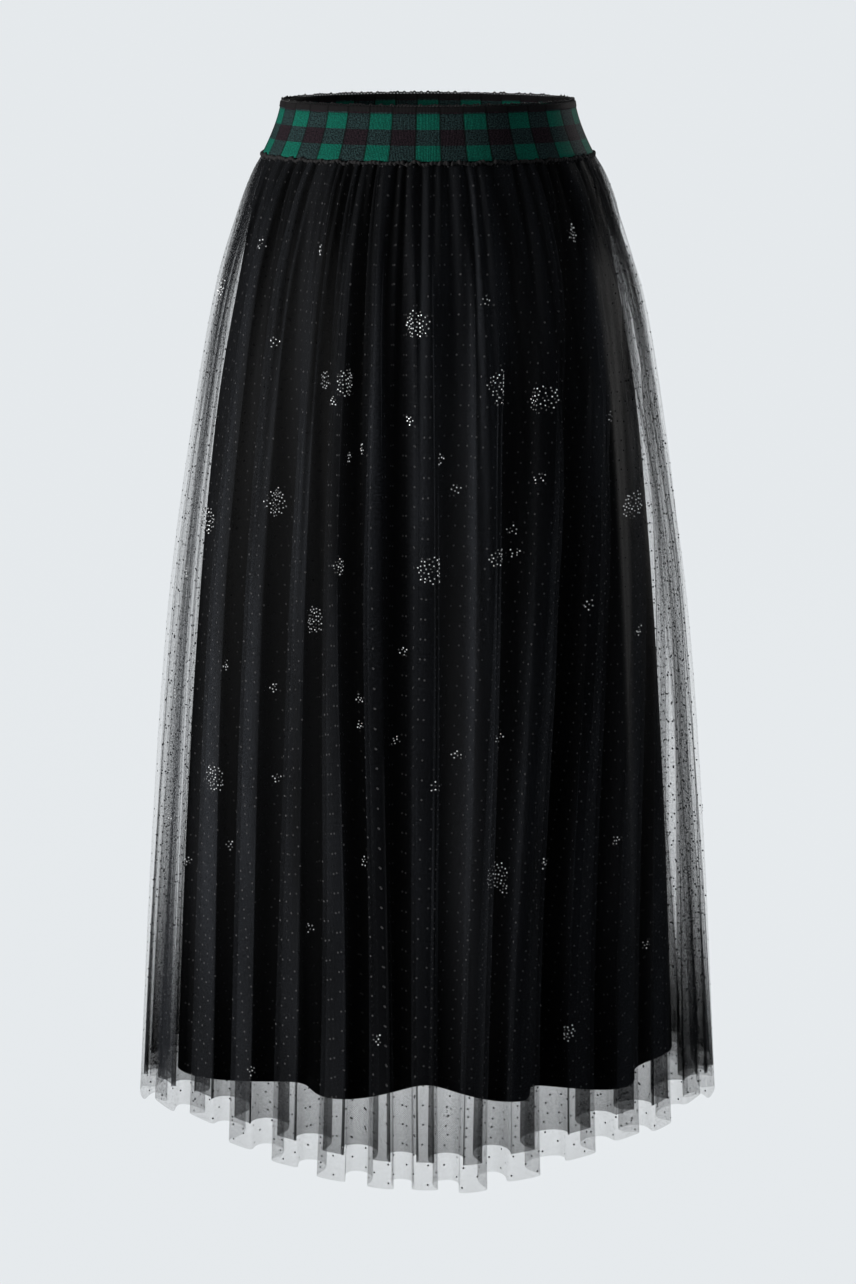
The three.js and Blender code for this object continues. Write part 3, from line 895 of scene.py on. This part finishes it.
def lining_points(turn, depth, inside=0.0):
    """Points of the lining, in millimetres: an ellipse less fold_depth * (1 - reach * cosine)."""
    at = {name: smooth_through(depth, LINING["depth"], column) for name, column in LINING.items()}
    down_share = (depth - SEAM_DEPTH) / (LINING_HEM - SEAM_DEPTH)
    ridge, width, share, row = fold_place(LINING_FOLDS, turn, down_share)
    angle = np.radians(ridge + width * share)
    sunk = at["fold_depth"] * (1 - row["reach"] * np.cos(2 * np.pi * share))
    crinkle = wander(turn, len(LINING_FOLDS), 21, (12, 60), 0.5) * np.sin(np.pi * down_share)
    radius = outline_radius(at["half_width"], at["half_depth"], 2.0, angle) - sunk + crinkle - inside
    z = np.broadcast_to(-depth + row["lift"] * down_share ** 2, radius.shape)
    return np.stack([radius * np.sin(angle), -radius * np.cos(angle), z], axis=-1)


def lining_panel(name, turns):
    """A lining panel that goes down to its hem and back up inside it."""
    columns = int((turns[1] - turns[0]) * LINING_COLUMNS_A_WAVE) + 1
    turn = np.linspace(*turns, columns)[None, :]
    down = np.linspace(LINING_TOP, LINING_HEM, LINING_ROWS)
    up = LINING_HEM - np.linspace(0, HEM_TURNED_UP, HEM_ROWS)
    depth = np.concatenate([down, up])[:, None]
    inside = np.concatenate([np.zeros(LINING_ROWS), np.full(HEM_ROWS, HEM_INSIDE)])[:, None]
    return cloth_panel(name, lining_points(turn, depth, inside), LINING_TOP_CUT)


def lining_material():
    """Smooth black cloth with a fine weave, barely lighter in broad patches."""
    material, tree, shader = new_material("black_lining")
    cloth, across, down = cloth_coordinates(tree)
    weave = noise(tree, cloth, 2200.0)
    shade = mix_colours(tree, noise(tree, cloth, 18.0), (0.0007, 0.0008, 0.0010), (0.0016, 0.0018, 0.0022))
    tree.links.new(shade, shader.inputs["Base Color"])
    shader.inputs["Roughness"].default_value = 0.6
    shader.inputs["Specular IOR Level"].default_value = 0.05
    bump(tree, shader, weave, 0.00012, 0.35)
    return material


LINING_PANELS = {
    "lining_front": lining_panel("lining_cloth_front", (-HALF, LINING_FRONT_COUNT - HALF)),
    "lining_back": lining_panel("lining_cloth_back", (LINING_FRONT_COUNT - HALF, len(LINING_FOLDS) - HALF)),
}
LINING_CLOTH = lining_material()
for panel in LINING_PANELS.values():
    panel["piece"].data.materials.append(LINING_CLOTH)

# %% Its line of hem stitches
STITCH_LENGTH, STITCH_GAP, STITCH_WIDTH = 2.6, 0.9, 0.34


def thread_material():
    material, tree, shader = new_material("black_thread")
    place = tree.nodes.new("ShaderNodeTexCoord").outputs["Object"]
    colour = mix_colours(tree, noise(tree, place, 1500.0), (0.002, 0.002, 0.002), (0.010, 0.009, 0.011))
    tree.links.new(colour, shader.inputs["Base Color"])
    shader.inputs["Roughness"].default_value = 0.6
    return material


THREAD = thread_material()
stitch = np.vstack([ring(6, 1.0, 0.0)[:, :2].T, np.zeros(6)]).T * (STITCH_LENGTH / 2, STITCH_WIDTH / 2, 1)
for key, panel in LINING_PANELS.items():
    edge = panel["down"][LINING_ROWS - 1]
    half = panel["flat"][0] / 2 - 0.004
    places = np.arange(-half, half, (STITCH_LENGTH + STITCH_GAP) * MM)
    frames = laid_on(panel, places, np.full(len(places), edge - (HEM_TURNED_UP - 1) * MM))
    panel["stitches"] = stamp("stitches_" + key, frames, stitch + (0, 0, 0.12), [range(6)], THREAD)
    print(panel["stitches"].name, len(places))

# %% [markdown]
# ## The elastic waistband
#
# The band is one woven elastic, 44 mm high, with a plain rounded lip along its top. Its check
# has three rows of squares and 36 columns round. It is carried as a closed section round an
# oval that flares where the gathers push it out.

# %% The band's mesh
BAND_HEIGHT, BAND_THICKNESS = 44.0, 3.4
LIP_HEIGHT, LIP_STANDS_OUT, EDGE_ROUNDING = 6.0, 0.6, 1.6
BAND_TOP, BAND_BOTTOM = (125.0, 94.0), (141.0, 108.0)
FLARE_POWER = 1.45
BAND_COLUMNS = 432
CHECK_COLUMNS, CHECK_ROWS = 36, 3


def band_section():
    """The section as (outwards, height) points in millimetres: up the outer face, round the
    lip, over the top and down the inner face to the start."""
    top, bottom = BAND_HEIGHT / 2, -BAND_HEIGHT / 2
    lip = top - LIP_HEIGHT
    outer = [(0.0, z) for z in np.linspace(bottom + 0.6, lip, 12)]
    turn = np.linspace(0, np.pi / 2, 5)
    groove = [(-0.45, lip + 0.1), (LIP_STANDS_OUT * 0.6, lip + 0.5)]
    shoulder = [(LIP_STANDS_OUT - EDGE_ROUNDING * (1 - math.cos(t)),
                 top - EDGE_ROUNDING * (1 - math.sin(t))) for t in turn]
    inner_edge = [(EDGE_ROUNDING * (1 - math.cos(t)) - BAND_THICKNESS,
                   top - EDGE_ROUNDING * (1 - math.sin(t))) for t in turn[::-1]]
    face = [(LIP_STANDS_OUT, z) for z in np.linspace(lip + 1.0, top - EDGE_ROUNDING - 0.6, 4)]
    inner = [(-BAND_THICKNESS, z) for z in np.linspace(top - EDGE_ROUNDING - 0.6, bottom + 0.6, 12)]
    foot = [(-BAND_THICKNESS + 0.6, bottom), (-0.6, bottom)]
    return np.array(outer + groove + face + shoulder + inner_edge + inner + foot)


def band_axes(z):
    """Half width and half depth of the band's outer face at a height."""
    share = np.clip((BAND_HEIGHT / 2 - z) / BAND_HEIGHT, 0, 1) ** FLARE_POWER
    return [top + (bottom - top) * share for top, bottom in zip(BAND_TOP, BAND_BOTTOM)]


def even_angles(half_width, half_depth, count):
    """Angles round an ellipse, from the front, at even steps of its length; with its length."""
    fine = np.linspace(0, 2 * np.pi, 7201)
    steps = np.hypot(np.diff(half_width * np.sin(fine)), np.diff(half_depth * np.cos(fine)))
    length = np.concatenate([[0], np.cumsum(steps)])
    return np.interp(np.arange(count + 1) / count * length[-1], length, fine), length[-1]


def make_waistband():
    """The section carried round an oval that changes with height, with fine upright ribs on
    the outer face. Its map runs round the band and down from the lip's lower edge."""
    angle, length = even_angles(*band_axes(0.0), BAND_COLUMNS)
    section = band_section()
    closed = np.vstack([section, section[:1]])[::-1]
    wide, deep = band_axes(closed[:, 1])
    rib = 0.10 * np.cos(angle * 150) * (closed[:, :1] < 0.1)
    x = (wide[:, None] + closed[:, :1] + rib) * np.sin(angle)
    y = -(deep[:, None] + closed[:, :1] + rib) * np.cos(angle)
    z = np.broadcast_to(closed[:, 1:], x.shape)
    across = np.linspace(0, length, BAND_COLUMNS + 1) * MM
    below_lip = (BAND_HEIGHT / 2 - LIP_HEIGHT - closed[:, 1:]) * MM
    points = np.stack([x, y, z], axis=-1)
    piece = sheet_mesh("waistband_elastic", points, across[None, :], below_lip, joined=(True, True))
    return piece, length


WAISTBAND, BAND_LENGTH = make_waistband()
print("band", round(BAND_LENGTH), "mm round,", len(WAISTBAND.data.polygons), "faces")

# %% The check
CHECK_GREEN_LIGHT, CHECK_GREEN_DARK = (0.002, 0.150, 0.100), (0.001, 0.072, 0.052)
CHECK_MIXED_LIGHT, CHECK_MIXED_DARK = (0.026, 0.060, 0.060), (0.002, 0.006, 0.008)
CHECK_DARK_LIGHT, CHECK_DARK_DARK = (0.026, 0.015, 0.021), (0.004, 0.002, 0.004)
LIP_COLOUR = (0.010, 0.009, 0.010)
CHECK_OVER_LIP = 0.0012
RIBS_A_METRE, WEFTS_A_METRE = 820, 1150


def check_material():
    """The woven check. odd_column + odd_row is 0 on a green square, 1 on a mixed one and 2 on
    a dark one, and a dark line runs between columns."""
    material, tree, shader = new_material("checked_elastic")
    cloth, across, below = cloth_coordinates(tree)
    pitch = BAND_LENGTH * MM / CHECK_COLUMNS
    column = math_node(tree, "ADD", math_node(tree, "DIVIDE", across, pitch), 0.5)
    row_height = (BAND_HEIGHT - LIP_HEIGHT) * MM / CHECK_ROWS
    row = math_node(tree, "DIVIDE", below, row_height)
    fuzzy = math_node(tree, "MULTIPLY_ADD", noise(tree, cloth, 1400.0), 0.06, -0.03)
    column = math_node(tree, "ADD", column, fuzzy)
    odd_column = math_node(tree, "FLOORED_MODULO", math_node(tree, "FLOOR", column), 2.0)
    odd_row = math_node(tree, "FLOORED_MODULO", math_node(tree, "FLOOR", row), 2.0)
    dark = math_node(tree, "ADD", odd_column, odd_row)
    speckle = band_of(tree, noise(tree, cloth, 900.0, 3.0), 0.42, 0.60)
    green = mix_colours(tree, speckle, CHECK_GREEN_DARK, CHECK_GREEN_LIGHT)
    mixed = mix_colours(tree, speckle, CHECK_MIXED_DARK, CHECK_MIXED_LIGHT)
    undyed = mix_colours(tree, speckle, CHECK_DARK_DARK, CHECK_DARK_LIGHT)
    colour = mix_colours(tree, band_of(tree, dark, 0.0, 1.0), green, mixed)
    colour = mix_colours(tree, band_of(tree, dark, 1.0, 2.0), colour, undyed)
    rib = math_node(tree, "SINE", math_node(tree, "MULTIPLY", across, 2 * math.pi * RIBS_A_METRE))
    weft = math_node(tree, "SINE", math_node(tree, "MULTIPLY", below, 2 * math.pi * WEFTS_A_METRE))
    weave = math_node(tree, "MULTIPLY_ADD", weft, 0.35, rib)
    shade = math_node(tree, "MULTIPLY_ADD", weave, 0.13, 0.92)
    patchy = math_node(tree, "MULTIPLY_ADD", noise(tree, cloth, 60.0), 0.35, 0.82)
    shade = math_node(tree, "MULTIPLY", shade, patchy)
    edge = math_node(tree, "ABSOLUTE", math_node(tree, "SUBTRACT", math_node(tree, "FRACT", column), 0.5))
    line = band_of(tree, edge, 0.44, 0.485)
    shade = math_node(tree, "MULTIPLY", shade, math_node(tree, "MULTIPLY_ADD", line, -0.75, 1.0))
    on_lip = math_node(tree, "LESS_THAN", below, -CHECK_OVER_LIP)
    colour = mix_colours(tree, on_lip, colour, LIP_COLOUR)
    tree.links.new(scaled_colour(tree, colour, shade), shader.inputs["Base Color"])
    shader.inputs["Roughness"].default_value = 0.8
    shader.inputs["Specular IOR Level"].default_value = 0.1
    shader.inputs["Sheen Weight"].default_value = 0.03
    bump(tree, shader, weave, 0.0002, 0.6)
    return material


WAISTBAND.data.materials.append(check_material())

# %% [markdown]
# ## Loops along the band's edge, and the gathered seam
#
# Woven elastic is finished with tiny loops along its edge. Below it the net is gathered on a
# thread and overlocked to the band, which leaves a thick dark roll full of thread ends.

# %% Edge loops
LOOPS_ROUND, LOOP_HEIGHT, LOOP_THREAD = 230, 1.5, 0.75
LOOP_STEPS, LOOP_SIDES = 7, 4
LOOP_HEIGHTS = (0.55, 1.2)


def make_loops():
    """Half rings of thread that stand on the lip, uneven in height, carried round the band."""
    wide, deep = (a + LIP_STANDS_OUT - BAND_THICKNESS / 2 for a in BAND_TOP)
    starts, length = even_angles(wide, deep, LOOPS_ROUND)
    bow = np.linspace(0, np.pi, LOOP_STEPS)
    reach = 0.42 * length / LOOPS_ROUND
    turn = np.linspace(0, 2 * np.pi, LOOP_SIDES, endpoint=False)
    spread = -np.cos(bow)[:, None] * (reach + LOOP_THREAD * np.cos(turn))
    rise = np.sin(bow)[:, None] * (LOOP_HEIGHT + LOOP_THREAD * np.cos(turn))
    off = np.broadcast_to(LOOP_THREAD * np.sin(turn), rise.shape)
    shape = np.stack([spread, -rise, off], axis=-1).reshape(-1, 3)
    faces = []
    for i in range(LOOP_STEPS - 1):
        for j in range(LOOP_SIDES):
            k = (j + 1) % LOOP_SIDES
            faces.append([i * LOOP_SIDES + j, (i + 1) * LOOP_SIDES + j,
                          (i + 1) * LOOP_SIDES + k, i * LOOP_SIDES + k])
    angle = starts[:-1]
    point = np.stack([wide * np.sin(angle), -deep * np.cos(angle),
                      np.full(LOOPS_ROUND, BAND_HEIGHT / 2 - 0.2)], axis=1)
    side = np.stack([wide * np.cos(angle), deep * np.sin(angle), np.zeros(LOOPS_ROUND)], axis=1)
    side = side / np.linalg.norm(side, axis=1)[:, None]
    fall = np.tile([0.0, 0.0, -1.0], (LOOPS_ROUND, 1))
    frames = point, side, fall, np.cross(fall, side), None
    tall = np.random.default_rng(71).uniform(*LOOP_HEIGHTS, LOOPS_ROUND)
    return stamp("edge_loops", frames, shape, faces, THREAD,
                 grow=(np.ones(LOOPS_ROUND), tall, np.ones(LOOPS_ROUND)))


EDGE_LOOPS = make_loops()
print(EDGE_LOOPS.name, len(EDGE_LOOPS.data.polygons), "faces")

# %% The overlocked roll
ROLL_DEPTH, ROLL_RADIUS = 23.4, 1.55
ROLL_COLUMNS, ROLL_SIDES = 1584, 10
ROLL_AXES = (141.2, 108.2)
ROLL_MAP = (0.124, 0.0015)
ROLL_NOTCHES, NOTCH_DEPTH = 264, 0.32


def make_roll():
    """A closed tube round the seam: its radius and height wander, and it is notched by the
    overlocking thread."""
    share = np.linspace(0, 1, ROLL_COLUMNS + 1)
    angle = 2 * np.pi * share
    turn = 2 * np.pi * np.linspace(0, 1, ROLL_SIDES + 1)[:, None]
    notch = NOTCH_DEPTH * np.cos(angle * ROLL_NOTCHES + 1.2 * np.cos(turn))
    radius = ROLL_RADIUS + notch + wander(share, 1, 41, (40, 200), 0.35)
    drift = wander(share, 1, 42, (20, 90), 0.8) + wander(share, 1, 43, (90, 300), 0.35)
    out = radius * np.cos(turn)
    x, y = (ROLL_AXES[0] + out) * np.sin(angle), -(ROLL_AXES[1] + out) * np.cos(angle)
    z = -ROLL_DEPTH + drift - radius * np.sin(turn)
    across = np.broadcast_to(angle * ROLL_MAP[0], x.shape)
    points = np.stack([x, y, z], axis=-1)
    return sheet_mesh("gathering_seam", points, across, turn * ROLL_MAP[1], joined=(True, True))


def fuzz_material():
    """Fluffy dark thread."""
    material, tree, shader = new_material("overlock_thread")
    cloth, across, down = cloth_coordinates(tree)
    fibre = noise(tree, cloth, 1300.0, 4.0)
    colour = mix_colours(tree, fibre, (0.001, 0.001, 0.001), (0.007, 0.006, 0.008))
    tree.links.new(colour, shader.inputs["Base Color"])
    shader.inputs["Roughness"].default_value = 0.85
    shader.inputs["Sheen Weight"].default_value = 0.02
    bump(tree, shader, fibre, 0.0006, 0.8)
    return material


GATHERING_SEAM = make_roll()
GATHERING_SEAM.data.materials.append(fuzz_material())

# %% [markdown]
# ## Side seams
#
# Each layer of net is two panels, joined at the sides in a narrow French seam. It shows as a
# thin dark line down a valley. A strip of the same surface, moved in by less than a
# millimetre, is the doubled cloth of its seam allowance.

# %% Seam strips
SEAM_STRIP_TURNS, SEAM_STRIP_ROWS = 0.045, 120
SEAM_STRIP_INSIDE, SEAM_STRIP_CROWDING = 0.5, 5.0
SIDE_TURNS = {"left": -HALF, "right": len(FRONT_FOLDS) - HALF}


def seam_strip(name, middle, under):
    """The doubled cloth of a side seam, a narrow strip just inside the net's own surface."""
    step = SEAM_STRIP_TURNS / 4
    turn = middle + np.linspace(-SEAM_STRIP_TURNS - step, SEAM_STRIP_TURNS + step, 11)[None, :]
    hem = HEM_DEPTH - (UNDER_HEM_RISE if under else 0)
    depth = down_steps(SEAM_STRIP_ROWS, hem)[:, None]
    points, painted_shade_openness = tulle_points(turn, depth, under)
    centre = points.mean(axis=1, keepdims=True)
    inwards = -centre * (1, 1, 0) / np.linalg.norm(centre * (1, 1, 0), axis=-1, keepdims=True)
    piece = cloth_panel(name, points + SEAM_STRIP_INSIDE * inwards, 1.0)["piece"]
    keep_by_point(piece, "crowding", np.full(painted_shade_openness.shape, SEAM_STRIP_CROWDING))
    # The strip's mask for the net's painted valley shade.
    keep_by_point(piece, "painted_shade_openness", painted_shade_openness)
    piece.data.materials.append(NET)
    return piece


STRIPS = {}
for side, middle in SIDE_TURNS.items():
    STRIPS["tulle_" + side] = seam_strip("seam_" + side, middle, under=False)
    STRIPS["tulle_under_" + side] = seam_strip("seam_under_" + side, middle, under=True)
print("strips", sorted(STRIPS))

# %% [markdown]
# ## What each piece rides on and stands for
#
# Every piece rides the one body. Each sheet hides the solid that it stands for, and the flat
# size that it was cut to is printed.

# %% Bodies and cuts


def dress(piece, node=None):
    """Put a piece on the one body, and in place of a solid if one is named."""
    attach(piece, "root")
    if node:
        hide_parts(node)


def declare_cut(panel):
    """Say the flat cut of a panel, and how much of it its mesh covers."""
    piece = panel["piece"]
    areas = np.empty(len(piece.data.polygons))
    piece.data.polygons.foreach_get("area", areas)
    print(piece.name, "cut", [round(side, 3) for side in panel["flat"]],
          "area", round(panel["area"], 3), "mesh share", round(areas.sum() / panel["area"], 2))


NODE_OF = {"front": "tulle_front", "back": "tulle_back",
           "under_front": "tulle_under_front", "under_back": "tulle_under_back"}
for key, node in NODE_OF.items():
    dress(PANELS[key]["piece"], node)
    declare_cut(PANELS[key])
for node, panel in LINING_PANELS.items():
    dress(panel["piece"], node)
    declare_cut(panel)
for name, strip in STRIPS.items():
    dress(strip)
dress(WAISTBAND, "waistband")
dress(GATHERING_SEAM)
